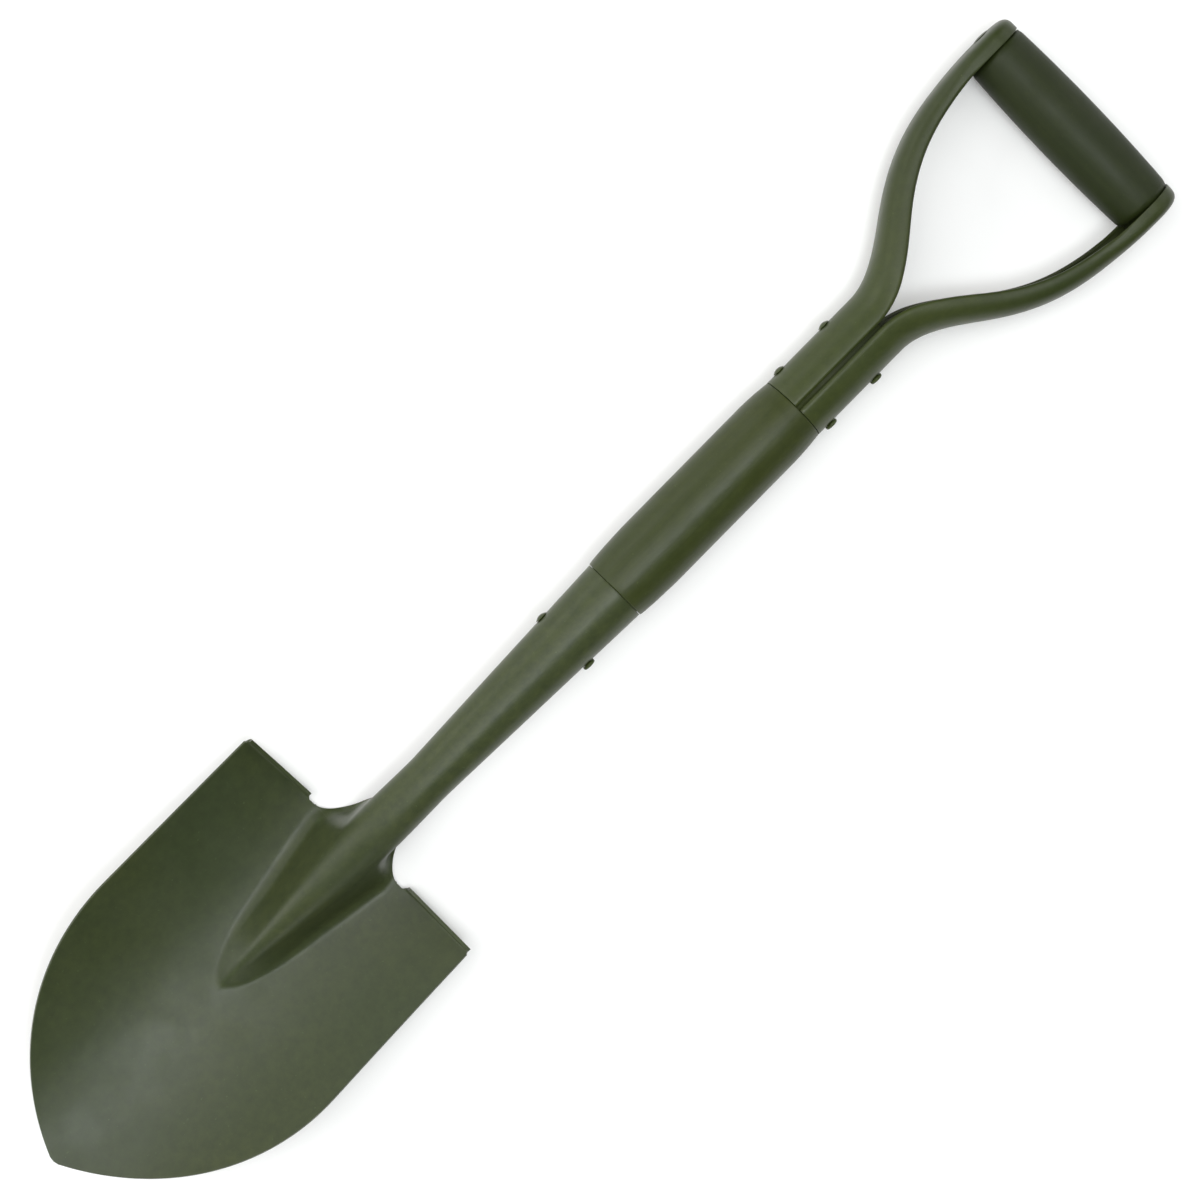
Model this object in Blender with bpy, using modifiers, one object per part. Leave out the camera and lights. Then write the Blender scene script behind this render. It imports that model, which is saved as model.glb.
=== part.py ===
"""Short D-handled round-point shovel, painted steel and wood, lying on its back with its face up.

Everything is first laid out in the shaft's own frame: X runs along the shaft toward the grip with X = 0
at the rim of the socket, Y points to the shovel's left, and Z points out of the face. One matrix, REST,
then lays the whole shovel on the floor. All sizes are in metres.
"""

import math

import bmesh
import bpy
from mathutils import Matrix, Vector
from mathutils.geometry import interpolate_bezier

# Gap between neighbouring pieces.
GAP = 0.0003

# Blade, neck and socket: one sheet of steel, described by its face side.
SHEET = 0.0016
TIP_X = -0.3822
TREAD_X = -0.1745
BLADE_HALF = 0.0754
HEEL_HALF = 0.0744
POINT_ARC = 0.1215
POINT_ROUNDING = 0.0080
DISH_RADIUS = 0.147
HEEL_Z = -0.028
HEEL_LIFT = math.radians(6.0)
SCOOP = 0.34
HEEL_CORNER = 0.0005

# Frog, the hollow ridge that carries the socket down into the blade.
FROG_LENGTH = 0.0945
FROG_HALF = 0.0293
FROG_FOOT_RADIUS = 0.0085
# (distance from the frog's lower end, its half width there)
FROG_SPREAD = ((0.0, 0.0), (0.008, 0.0082), (0.028, 0.0165), (0.060, 0.0231), (FROG_LENGTH, FROG_HALF))
# (distance from the frog's lower end, height of its crown above the shaft's axis)
FROG_RISE = ((0.016, -0.0118), (0.036, -0.0064), (0.060, -0.0006), (FROG_LENGTH, 0.0062))
# (distance from the frog's lower end, radius of its crown)
FROG_ROUND = ((0.0, 0.0012), (0.010, 0.0032), (0.060, 0.0098), (FROG_LENGTH, 0.0125))

# Steps turned up toward the face, and the notches between them and the neck.
STEP_BEND = 0.0014
STEP_HEIGHT = 0.0070
STEP_DROOP = math.radians(1.2)
STEP_INNER = 0.0342
STEP_INNER_CUT = 0.0022
STEP_CORNER_CUT = 0.0008
NOTCH_HALF = 0.0285
# Cut edge of the neck, as (distance above the notch, half width): two ends with a handle by each.
NECK_CUT = ((0.0, NOTCH_HALF), (0.0, 0.0235), (0.0080, 0.0158), (0.0185, 0.0132))

# Neck, open at the back, and socket, closed at the back down to SEAM_TOP_X.
NECK_X = -0.126
NECK_RADIUS = 0.0121
NECK_FRONT = (-0.155, 0.0100)
NECK_ROUND = (-0.158, 0.0126)
RIM_RADIUS = 0.01685
SEAM_HALF = 0.0005
SEAM_TOP_X = -0.080
# (place, degrees from the front by which the neck's rounded part turns back)
NECK_WRAP = (
    (-0.1735, 76.0),
    (-0.167, 87.0),
    (-0.159, 90.0),
    (-0.148, 108.0),
    (-0.136, 134.0),
    (-0.112, 157.0),
    (SEAM_TOP_X, 177.9),
)
# (place, length of the straight flank below the rounded part)
NECK_FLANK = ((-0.1735, 0.0205), (-0.167, 0.0185), (-0.159, 0.0142), (-0.148, 0.0060), (-0.136, 0.0))
# (place, radius with which the flank turns out into the foot)
NECK_FOOT = ((-0.1735, 0.0070), (-0.167, 0.0042), (-0.159, 0.0032))
FOOT_END_X = -0.149
# Reach over which the frog's cross-section turns smoothly into the neck's.
SECTION_BLEND = 0.006

# Wooden shaft.
SHAFT_IN_SOCKET = 0.100
SHAFT_TOP_X = 0.178
STRAP_SEAT_RADIUS = 0.0151
# (distance in from the joint, radius) where the full shaft tapers down to each joint
STRAP_SHOULDER = ((0.0, 0.0174), (0.0040, 0.0178), (0.0085, 0.01825), (0.0180, 0.01865))
SOCKET_SHOULDER = ((0.0, 0.0172), (0.0030, 0.0176), (0.0130, 0.01825), (0.0260, 0.01865))
END_CHAMFER = 0.0018
WOOD_STEPS = 32

# Straps, arms of the D, and the cups over the grip.
STRAP_SHEET = 0.0014
STRAP_RADIUS = 0.01745
STRAP_X = 0.1222
CROTCH_X = 0.179
STRAP_SEAM_HALF = 0.0010
LIP_RADIUS = 0.0017
D_HALF = 0.0611
CUP_RADIUS = 0.0152
CUP_DEPTH = 0.0090
# (place, how deep the arm's channel is, from its outer face to its lips)
ARM_DEPTH = (
    (CROTCH_X, STRAP_RADIUS - STRAP_SEAM_HALF),
    (0.190, 0.0156),
    (0.200, 0.0145),
    (0.215, 0.0133),
    (0.250, 0.0113),
    (0.291, CUP_DEPTH),
)
# (place, half the arm's height, out of the plane of the D)
ARM_HEIGHT = (
    (CROTCH_X, STRAP_RADIUS),
    (0.200, 0.0160),
    (0.230, 0.0138),
    (0.262, 0.0135),
    (0.300, CUP_RADIUS),
)
# (place, power of the superellipse that the channel follows: 2 is round, more is squarer)
ARM_POWER = ((CROTCH_X, 2.0), (0.215, 2.4), (0.275, 2.5), (0.300, 4.0))
# (place, degrees through which the lip rolls in)
ARM_ROLL = ((0.280, 90.0), (0.302, 20.0))

# Grip.
GRIP_X = 0.3107
GRIP_RADIUS = 0.0167
GRIP_END_RADIUS = 0.0153
GRIP_HALF = 0.0513
GRIP_ROWS = 10
TENON_RADIUS = 0.0134
TENON_HALF = 0.0575

# Rivets. A shaft rivet has a low dome on the left and a pan head on the right.
SOCKET_RIVET_X = -0.034
LOWER_STRAP_RIVET_X = 0.130
UPPER_STRAP_RIVET_X = 0.1606
SHANK_RADIUS = 0.0020
HEAD_RADIUS = 0.0033
DOME_HEIGHT = 0.0013
PAN_HEIGHT = 0.0019
PAN_WALL = 0.0011
PAN_TOP_RADIUS = 0.0028
PAN_CROWN = 0.0003
ROD_RADIUS = 0.0025
ROD_HEAD_RADIUS = 0.0042
ROD_HEAD_HEIGHT = 0.0005
RIVET_STEPS = 20

# How the shovel lies: it rests on the back of its heel and on the belly of the grip.
REST_TILT = math.radians(1.2610)
REST_SHIFT = Vector((0.02752, 0.0, 0.023534))
REST = Matrix.Translation(REST_SHIFT) @ Matrix.Rotation(REST_TILT, 4, "Y")

# Olive paint, satin on steel and duller on wood.
OLIVE = (0.082, 0.100, 0.048, 1.0)
ON_STEEL = 0.42
ON_WOOD = 0.50


def clear_scene():
    for obj in list(bpy.data.objects):
        bpy.data.objects.remove(obj, do_unlink=True)


def new_collection(name):
    collection = bpy.data.collections.new(name)
    bpy.context.scene.collection.children.link(collection)
    return collection


def paint(name, roughness):
    material = bpy.data.materials.new(name + "_paint")
    material.use_nodes = True
    shader = material.node_tree.nodes["Principled BSDF"]
    shader.inputs["Base Color"].default_value = OLIVE
    shader.inputs["Roughness"].default_value = roughness
    return material


def add_object(name, bm, collection, roughness=None):
    """Object in the shaft's frame, laid on the floor by REST. A painted piece gives its roughness."""
    mesh = bpy.data.meshes.new(name)
    bm.to_mesh(mesh)
    bm.free()
    obj = bpy.data.objects.new(name, mesh)
    obj.matrix_world = REST
    collection.objects.link(obj)
    if roughness:
        mesh.materials.append(paint(name, roughness))
        mesh.shade_smooth()
    return obj


def ease(t):
    t = min(max(t, 0.0), 1.0)
    return t * t * (3.0 - 2.0 * t)


def track(x, stops):
    """Smooth curve through the stops (place, value), with no overshoot between them."""
    if x <= stops[0][0]:
        return stops[0][1]
    if x >= stops[-1][0]:
        return stops[-1][1]
    slopes = [(b[1] - a[1]) / (b[0] - a[0]) for a, b in zip(stops, stops[1:])]
    tangents = [slopes[0]]
    for before, after in zip(slopes, slopes[1:]):
        same_way = before * after > 0.0
        tangents.append(2.0 * before * after / (before + after) if same_way else 0.0)
    tangents.append(slopes[-1])
    for i, (a, b) in enumerate(zip(stops, stops[1:])):
        if x <= b[0]:
            width = b[0] - a[0]
            t = (x - a[0]) / width
            start = (1.0 + 2.0 * t) * (1.0 - t) ** 2 * a[1] + t * (1.0 - t) ** 2 * width * tangents[i]
            end = t * t * (3.0 - 2.0 * t) * b[1] + t * t * (t - 1.0) * width * tangents[i + 1]
            return start + end
    return stops[-1][1]


# ---------------------------------------------------------------- blade

BEND_X = TREAD_X - SHEET - STEP_BEND


def dish(y):
    return DISH_RADIUS - math.sqrt(DISH_RADIUS**2 - y * y)


def plate_z(x):
    """Height of the middle of the blade, without the frog: it rises ever faster toward the tip."""
    run = BEND_X - x
    return HEEL_Z + math.tan(HEEL_LIFT) * run + SCOOP * run * run


def point_outline():
    """(distance from the apex at which the side arcs start, sine of their slant at the apex)."""
    arc_start = math.sqrt(POINT_ARC**2 - (POINT_ARC - BLADE_HALF) ** 2)
    return arc_start, arc_start / POINT_ARC


def blade_half_width(x):
    """Outline: nearly parallel sides that run into a rounded point made of two arcs."""
    arc_start, slant = point_outline()
    centre = POINT_ROUNDING / slant
    along = x - TIP_X + centre - POINT_ROUNDING
    if along >= arc_start:
        straight = BEND_X - TIP_X - arc_start
        into_corner = max(x - BEND_X + HEEL_CORNER, 0.0)
        cut = HEEL_CORNER - math.sqrt(max(HEEL_CORNER**2 - into_corner**2, 0.0))
        return BLADE_HALF + (HEEL_HALF - BLADE_HALF) * (along - arc_start) / straight - cut
    if along >= centre - POINT_ROUNDING * slant:
        return math.sqrt(POINT_ARC**2 - (arc_start - along) ** 2) - (POINT_ARC - BLADE_HALF)
    return math.sqrt(POINT_ROUNDING**2 - (centre - along) ** 2)


def above_frog_end(stops):
    """The same stops with their places turned from distances above the frog's end into X."""
    return tuple((BEND_X - FROG_LENGTH + distance, value) for distance, value in stops)


def frog_half_width(x):
    return track(x, above_frog_end(FROG_SPREAD))


def socket_radius(x):
    """Radius of the round, evenly tapered part of the socket."""
    return RIM_RADIUS + (NECK_RADIUS - RIM_RADIUS) * x / NECK_X


def crown_z(x):
    """Height of the front line that runs from the rim of the socket down to the end of the frog."""
    if x >= NECK_X:
        return socket_radius(x)
    frog_end = BEND_X - FROG_LENGTH
    socket = (NECK_FRONT, (NECK_X, NECK_RADIUS), (0.0, RIM_RADIUS))
    return track(x, ((frog_end, plate_z(frog_end)),) + above_frog_end(FROG_RISE) + socket)


def crown_radius(x):
    """Radius of the rounded front, all the way down the socket, the neck and the frog."""
    if x >= NECK_X:
        return socket_radius(x)
    return track(x, above_frog_end(FROG_ROUND) + (NECK_ROUND, (NECK_X, NECK_RADIUS), (0.0, RIM_RADIUS)))


def bell(x):
    """(crown radius, foot radius, flank angle, flank length) of the frog's cross-section."""
    half = frog_half_width(x)
    height = crown_z(x) - plate_z(x)
    top = min(crown_radius(x), 0.55 * half)
    foot = min(FROG_FOOT_RADIUS, 0.40 * half)
    both = top + foot
    across = math.hypot(half, height - both)
    flank = math.atan2(height - both, half) + math.asin(min(both / across, 1.0))
    length = math.sqrt(max(across**2 - both**2, 0.0))
    return top, foot, flank, length


def neck_wrap(x):
    """(turn of the rounded front, length of its straight flank, radius of its foot) in frog and neck."""
    _, foot, flank, length = bell(min(x, BEND_X))
    if x <= BEND_X:
        return flank, length, foot
    turn = track(x, ((BEND_X, math.degrees(flank)),) + NECK_WRAP)
    straight = track(x, ((BEND_X, length),) + NECK_FLANK)
    return math.radians(turn), straight, track(x, ((BEND_X, foot),) + NECK_FOOT)


def front_radius(x):
    return crown_radius(x) if x > BEND_X else bell(x)[0]


def sharp_section(x, along):
    """(y, drop below the crown) at a distance along the sheet from the crown line."""
    radius = front_radius(x)
    turn, flank, foot = neck_wrap(x)
    arc = radius * turn
    if along <= arc:
        angle = along / radius
        return radius * math.sin(angle), radius * (1.0 - math.cos(angle))
    straight = min(along - arc, flank)
    y = radius * math.sin(turn) + straight * math.cos(turn)
    drop = radius * (1.0 - math.cos(turn)) + straight * math.sin(turn)
    rest = along - arc - straight
    angle = min(rest / foot, turn)
    y += foot * (math.sin(turn) - math.sin(turn - angle)) + rest - foot * angle
    drop += foot * (math.cos(turn - angle) - math.cos(turn))
    return y, drop


def neck_section(x, along):
    """The same, averaged over a stretch that is longest where the frog meets the neck."""
    reach = SECTION_BLEND * (1.0 - abs(x - BEND_X) / (2.0 * SECTION_BLEND))
    if reach <= 0.0:
        return sharp_section(x, along)
    total = Vector((0.0, 0.0))
    for offset, weight in ((-1.0, 1.0), (-0.5, 2.0), (0.0, 2.0), (0.5, 2.0), (1.0, 1.0)):
        total += weight * Vector(sharp_section(x + offset * reach, along))
    return total.x / 8.0, total.y / 8.0


def neck_reach(x, y_edge):
    """Distance along the sheet at which it reaches y_edge."""
    low = 0.0
    high = 0.060
    for _ in range(40):
        middle = 0.5 * (low + high)
        if neck_section(x, middle)[0] < y_edge:
            low = middle
        else:
            high = middle
    return low


def frog_height(x, y):
    """How far the frog stands over the plate, y from its middle."""
    if y >= frog_half_width(x) + SECTION_BLEND or frog_half_width(x) < 0.0002:
        return 0.0
    drop = neck_section(x, neck_reach(x, y))[1]
    return max(crown_z(x) - plate_z(x) - drop, 0.0)


def step_bow(y):
    """How far a cross line of the blade bows so that each turned step is flat."""
    droop = math.tan(STEP_DROOP) * max(y - STEP_INNER, 0.0)
    return math.cos(HEEL_LIFT) * (math.sin(HEEL_LIFT) * dish(y) - droop)


def blade_columns(strip, wing):
    """Fractions of the strip, and of the wing outside it, at which the sheet has vertices."""
    inner = [i / strip for i in range(strip + 1)]
    outer = [(i / wing) ** 0.9 for i in range(1, wing + 1)]
    return inner, outer


def blade_rows(count, corner):
    """Places along the blade, from just off the tip to the bend of the steps."""
    corner_start = BEND_X - HEEL_CORNER
    length = corner_start - TIP_X
    rows = [TIP_X + length * (i / count) ** 1.35 for i in range(1, count + 1)]
    for i in range(1, corner + 1):
        rows.append(corner_start + HEEL_CORNER * math.sin(0.5 * math.pi * i / corner))
    return rows


def neck_rows(notch, upper):
    """(place, distance from the crown line to the cut edge) from just above the notch to the rim."""
    curve = interpolate_bezier(*[Vector(point) for point in NECK_CUT], notch + 1)
    rows = [(BEND_X + above, neck_reach(BEND_X + above, half)) for above, half in curve[1:]]
    cut_end, reach = rows[-1]
    turn, flank, _ = neck_wrap(cut_end)
    foot_left = reach - crown_radius(cut_end) * turn - flank
    for i in range(1, upper + 1):
        x = cut_end * (1.0 - i / upper)
        turn, flank, _ = neck_wrap(x)
        foot = track(x, ((cut_end, foot_left), (FOOT_END_X, 0.0)))
        wrapped = math.pi * crown_radius(x) - SEAM_HALF if x > SEAM_TOP_X else crown_radius(x) * turn
        rows.append((x, wrapped + flank + foot))
    return rows


def build_blade(strip, wing, rows, corner, notch, upper, bend):
    """Left half of the blade's face side, to be mirrored across Y = 0."""
    bm = bmesh.new()
    inner, outer = blade_columns(strip, wing)
    shoulder_reach = neck_reach(BEND_X, NOTCH_HALF)
    shoulder = [neck_section(BEND_X, f * shoulder_reach)[0] for f in inner]
    fractions = [y / NOTCH_HALF for y in shoulder]

    def plate_point(x, y, bow):
        x_here = x + bow * step_bow(y)
        return Vector((x_here, y, plate_z(x_here) + dish(y) + frog_height(x_here, y)))

    grid = []
    for x in blade_rows(rows, corner):
        half = blade_half_width(x)
        scale = min(1.0, half / BLADE_HALF)
        near_heel = ease((x - BEND_X + 0.040) / 0.040)
        strip_half = NOTCH_HALF * scale
        ys = [f * strip_half for f in fractions] + [(STEP_INNER - STEP_INNER_CUT) * scale]
        ys += [ys[-1] + (half - ys[-1]) * f for f in outer]
        grid.append([bm.verts.new(plate_point(x, y, near_heel)) for y in ys])
    for below, above in zip(grid, grid[1:]):
        for j in range(len(below) - 1):
            bm.faces.new((below[j], above[j], above[j + 1], below[j + 1]))
    tip = bm.verts.new((TIP_X, 0.0, plate_z(TIP_X)))
    for a, b in zip(grid[0], grid[0][1:]):
        bm.faces.new((tip, a, b))

    # Steps: the wing columns turn up toward the face.
    first = strip + 1
    along = Vector((math.cos(HEEL_LIFT), 0.0, -math.sin(HEEL_LIFT)))
    out = Vector((0.0, 1.0, 0.0))
    tread_normal = along * math.cos(STEP_DROOP) + out * math.sin(STEP_DROOP)
    up = Vector((math.sin(HEEL_LIFT), 0.0, math.cos(HEEL_LIFT)))
    previous = grid[-1][first:]
    inner_y = previous[0].co.y
    step_width = previous[-1].co.y - inner_y
    shares = [(vertex.co.y - inner_y) / step_width for vertex in previous]
    offsets = []
    for i in range(1, bend + 1):
        angle = 0.5 * math.pi * i / bend
        offsets.append((STEP_BEND * math.sin(angle), STEP_BEND * (1.0 - math.cos(angle))))
    offsets.append((STEP_BEND, STEP_HEIGHT))
    for forward, rise in offsets:
        turned_up = forward / STEP_BEND
        start = inner_y + turned_up * STEP_INNER_CUT
        width = step_width - turned_up * (STEP_INNER_CUT + STEP_CORNER_CUT)
        row = []
        for share in shares:
            base = plate_point(BEND_X, start + width * share, 1.0)
            row.append(bm.verts.new(base + tread_normal * forward + up * rise))
        for j in range(len(row) - 1):
            bm.faces.new((previous[j], row[j], row[j + 1], previous[j + 1]))
        previous = row

    # Neck and socket.
    previous = grid[-1][: strip + 1]
    for x, reach in neck_rows(notch, upper):
        fade = 1.0 - ease((x - BEND_X) / 0.025)
        row = []
        for f in inner:
            y, drop = neck_section(x, f * reach)
            z = crown_z(x) - drop + fade * dish(y)
            row.append(bm.verts.new((x + fade * step_bow(y), y, z)))
        for j in range(strip):
            bm.faces.new((previous[j], row[j], row[j + 1], previous[j + 1]))
        previous = row
    return bm


# ---------------------------------------------------------------- straps and arms


def arm_path(strap, lower, upper):
    """Points (x, y) along the middle of the left arm's outer face, from the strap's end to the grip."""
    # (point, heading, reach of the handle before it, reach of the handle after it, steps to the next)
    knots = (
        (Vector((STRAP_X, STRAP_RADIUS)), 0.0, 0.0, 0.012, strap),
        (Vector((CROTCH_X, STRAP_RADIUS)), 0.0, 0.015, 0.013, lower),
        (Vector((0.2155, 0.0349)), math.radians(36), 0.012, 0.032, upper),
        (Vector((GRIP_X, D_HALF)), 0.0, 0.050, 0.0, 0),
    )
    points = []
    for (a, turn_a, _, reach_a, count), (b, turn_b, reach_b, _, _) in zip(knots, knots[1:]):
        leave = a + Vector((math.cos(turn_a), math.sin(turn_a))) * reach_a
        arrive = b - Vector((math.cos(turn_b), math.sin(turn_b))) * reach_b
        stretch = interpolate_bezier(a, leave, arrive, b, count + 1)
        points += stretch if not points else stretch[1:]
    return points


def arm_section(x, columns, lip):
    """Points (inward, up) of the upper half of the channel at x, from its outer face to its lip."""
    power = track(x, ARM_POWER)
    height = track(x, ARM_HEIGHT)
    roll = math.radians(track(x, ARM_ROLL))
    roll_start = track(x, ARM_DEPTH) - LIP_RADIUS * math.sin(roll)
    flat = track(x, ((CROTCH_X, STRAP_RADIUS), (0.200, roll_start)))
    share = roll_start / flat
    end = math.acos(max(1.0 - share, 0.0) ** (0.5 * power))
    points = []
    for i in range(columns + 1):
        angle = end * i / columns
        inward = flat * (1.0 - max(math.cos(angle), 0.0) ** (2.0 / power))
        points.append((inward, height * math.sin(angle) ** (2.0 / power)))
    start = points[-1]
    for i in range(1, lip + 1):
        angle = roll * i / lip
        reach = start[0] + LIP_RADIUS * math.sin(angle)
        points.append((reach, start[1] - LIP_RADIUS * (1.0 - math.cos(angle))))
    return points


def build_arm(side, strap, lower, upper, fan, columns, lip):
    """Face-side half of a strap and arm, to be mirrored across Z = 0. side is 1 on the left, else -1."""
    bm = bmesh.new()
    path = arm_path(strap, lower, upper)
    rows = []
    for i, point in enumerate(path):
        before = path[max(i - 1, 0)]
        after = path[min(i + 1, len(path) - 1)]
        along = (after - before).normalized() if 0 < i < len(path) - 1 else Vector((1.0, 0.0))
        inward = Vector((along.y, -along.x))
        row = []
        for n, up in arm_section(point.x, columns, lip):
            place = point + inward * n
            row.append(bm.verts.new((place.x, side * place.y, up)))
        rows.append(row)

    # The cup: the same section swings round the grip's axis until it lies in the plane of the D.
    section = arm_section(GRIP_X, columns, lip)
    centre = rows[-1][0]
    for i in range(1, fan + 1):
        swing = 0.5 * math.pi * i / fan
        row = [centre]
        for n, up in section[1:]:
            x = GRIP_X + up * math.sin(swing)
            z = up * math.cos(swing) if i < fan else 0.0
            row.append(bm.verts.new((x, side * (D_HALF - n), z)))
        rows.append(row)

    for a, b in zip(rows, rows[1:]):
        for j in range(len(a) - 1):
            corners = [a[j], a[j + 1], b[j + 1], b[j]]
            if corners[0] is corners[3]:
                corners.pop()
            if side < 0:
                corners.reverse()
            bm.faces.new(corners)
    return bm


# ---------------------------------------------------------------- modifiers and turned pieces


def mirror(obj, axis):
    modifier = obj.modifiers.new("Mirror", "MIRROR")
    modifier.use_axis = [i == axis for i in range(3)]
    modifier.merge_threshold = 0.00002


def solidify(obj, thickness):
    modifier = obj.modifiers.new("Sheet", "SOLIDIFY")
    modifier.thickness = thickness
    modifier.offset = -1.0
    modifier.use_even_offset = True


def drill(obj, cutter):
    modifier = obj.modifiers.new("Hole", "BOOLEAN")
    modifier.operation = "DIFFERENCE"
    modifier.object = cutter


def turned(name, profile, steps, turn, collection, roughness, closed=False):
    """Piece turned about its own Z from a profile (radius, height) that runs down its outer side."""
    bm = bmesh.new()
    vertices = [bm.verts.new((radius, 0.0, height)) for radius, height in profile]
    for a, b in zip(vertices, vertices[1:]):
        bm.edges.new((a, b))
    if closed:
        bm.edges.new((vertices[-1], vertices[0]))
    obj = add_object(name, bm, collection, roughness)
    obj.matrix_world = REST @ turn
    screw = obj.modifiers.new("Turn", "SCREW")
    screw.axis = "Z"
    screw.steps = steps
    screw.render_steps = steps
    screw.use_merge_vertices = True
    screw.merge_threshold = 0.00002
    return obj


def across(x):
    """Puts a turned piece's axis across the shaft at x, its top to the left."""
    return Matrix.Translation((x, 0.0, 0.0)) @ Matrix.Rotation(-0.5 * math.pi, 4, "X")


def drill_cutter(name, x, radius, collection):
    bm = bmesh.new()
    length = 2.4 * D_HALF
    bmesh.ops.create_cone(
        bm, cap_ends=True, segments=RIVET_STEPS, radius1=radius, radius2=radius, depth=length
    )
    cutter = add_object(name, bm, collection)
    cutter.matrix_world = REST @ across(x)
    cutter.hide_render = True
    cutter.display_type = "WIRE"
    return cutter


def dome(radius, base, height, count):
    """Points (radius, height) down a spherical cap, from its top to its rim."""
    ball = (radius**2 + height**2) / (2.0 * height)
    spread = math.asin(min(radius / ball, 1.0))
    points = []
    for i in range(count + 1):
        angle = spread * i / count
        points.append((ball * math.sin(angle), base + height - ball * (1.0 - math.cos(angle))))
    return points


def rivet(name, x, seat, collection):
    """Rivet across the shaft: a low dome on the left, a prouder pan head on the right."""
    seat = seat + GAP
    profile = dome(HEAD_RADIUS, seat, DOME_HEIGHT, 4)
    profile += [(SHANK_RADIUS, seat), (SHANK_RADIUS, -seat)]
    profile += [(HEAD_RADIUS, -seat), (HEAD_RADIUS, -seat - PAN_WALL)]
    crown = dome(PAN_TOP_RADIUS, seat + PAN_HEIGHT - PAN_CROWN, PAN_CROWN, 2)
    profile += [(radius, -height) for radius, height in reversed(crown)]
    return turned(name, profile, RIVET_STEPS, across(x), collection, ON_STEEL)


def build_shaft(collection):
    low = GAP
    high = STRAP_X - GAP
    profile = [(0.0, SHAFT_TOP_X), (STRAP_SEAT_RADIUS - END_CHAMFER, SHAFT_TOP_X)]
    profile += [(STRAP_SEAT_RADIUS, SHAFT_TOP_X - END_CHAMFER), (STRAP_SEAT_RADIUS, high)]
    for inset, radius in STRAP_SHOULDER:
        profile.append((radius, high - inset))
    for inset, radius in reversed(SOCKET_SHOULDER):
        profile.append((radius, low + inset))
    for x in (low, -SHAFT_IN_SOCKET):
        profile.append((socket_radius(min(x, 0.0)) - SHEET - GAP, x))
    profile.append((0.0, -SHAFT_IN_SOCKET))
    along_x = Matrix.Rotation(0.5 * math.pi, 4, "Y")
    return turned("shaft", profile, WOOD_STEPS, along_x, collection, ON_WOOD)


def build_grip(collection):
    """Barrel with a thinner tenon at each end that fills the cup, and a bore for the long rivet."""
    bore = ROD_RADIUS + GAP
    barrel = []
    for i in range(GRIP_ROWS + 1):
        y = GRIP_HALF * (1.0 - 2.0 * i / GRIP_ROWS)
        swell = 1.0 - (y / GRIP_HALF) ** 2
        barrel.append((GRIP_END_RADIUS + (GRIP_RADIUS - GRIP_END_RADIUS) * swell, y))
    end = [(bore, TENON_HALF), (TENON_RADIUS - END_CHAMFER, TENON_HALF)]
    end += [(TENON_RADIUS, TENON_HALF - END_CHAMFER), (TENON_RADIUS, GRIP_HALF)]
    profile = end + barrel + [(radius, -y) for radius, y in reversed(end)]
    return turned("grip", profile, WOOD_STEPS, across(GRIP_X), collection, ON_WOOD, closed=True)


def build_grip_rivet(collection):
    seat = D_HALF + GAP
    head = dome(ROD_HEAD_RADIUS, seat, ROD_HEAD_HEIGHT, 3)
    profile = head + [(ROD_RADIUS, seat), (ROD_RADIUS, -seat)]
    profile += [(radius, -height) for radius, height in reversed(head)]
    return turned("grip_rivet", profile, RIVET_STEPS, across(GRIP_X), collection, ON_STEEL)


def main():
    clear_scene()
    parts = new_collection("detecting_shovel")
    cutters = new_collection("cutters")

    rivet_holes = []
    for name, x in (("lower", LOWER_STRAP_RIVET_X), ("upper", UPPER_STRAP_RIVET_X)):
        hole = drill_cutter(name + "_strap_hole", x, SHANK_RADIUS + GAP, cutters)
        rivet_holes.append(hole)
    socket_hole = drill_cutter("socket_hole", SOCKET_RIVET_X, SHANK_RADIUS + GAP, cutters)
    grip_hole = drill_cutter("grip_hole", GRIP_X, ROD_RADIUS + GAP, cutters)

    blade_sheet = build_blade(strip=14, wing=7, rows=22, corner=2, notch=5, upper=14, bend=3)
    blade = add_object("blade", blade_sheet, parts, ON_STEEL)
    mirror(blade, 1)
    solidify(blade, SHEET)
    drill(blade, socket_hole)

    for name, side in (("left_arm", 1), ("right_arm", -1)):
        arm_sheet = build_arm(side, strap=5, lower=8, upper=11, fan=6, columns=7, lip=2)
        arm = add_object(name, arm_sheet, parts, ON_STEEL)
        mirror(arm, 2)
        solidify(arm, STRAP_SHEET)
        for hole in rivet_holes + [grip_hole]:
            drill(arm, hole)

    shaft = build_shaft(parts)
    for hole in rivet_holes + [socket_hole]:
        drill(shaft, hole)

    rivet("socket_rivet", SOCKET_RIVET_X, socket_radius(SOCKET_RIVET_X), parts)
    rivet("lower_strap_rivet", LOWER_STRAP_RIVET_X, STRAP_RADIUS, parts)
    rivet("upper_strap_rivet", UPPER_STRAP_RIVET_X, STRAP_RADIUS, parts)
    build_grip(parts)
    build_grip_rivet(parts)


main()
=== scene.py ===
"""Looks of the short D-handled shovel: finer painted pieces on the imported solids, floor, light, camera.

The pieces are laid out in the shaft's own frame, as the solids were: X runs along the shaft toward the
grip with X = 0 at the rim of the socket, Y points to the shovel's left, and Z points out of the face.
REST then lays them in the row frame. All sizes are in metres.
"""

import math

import bmesh
import bpy
from mathutils import Matrix, Vector
from mathutils.geometry import interpolate_bezier


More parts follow.
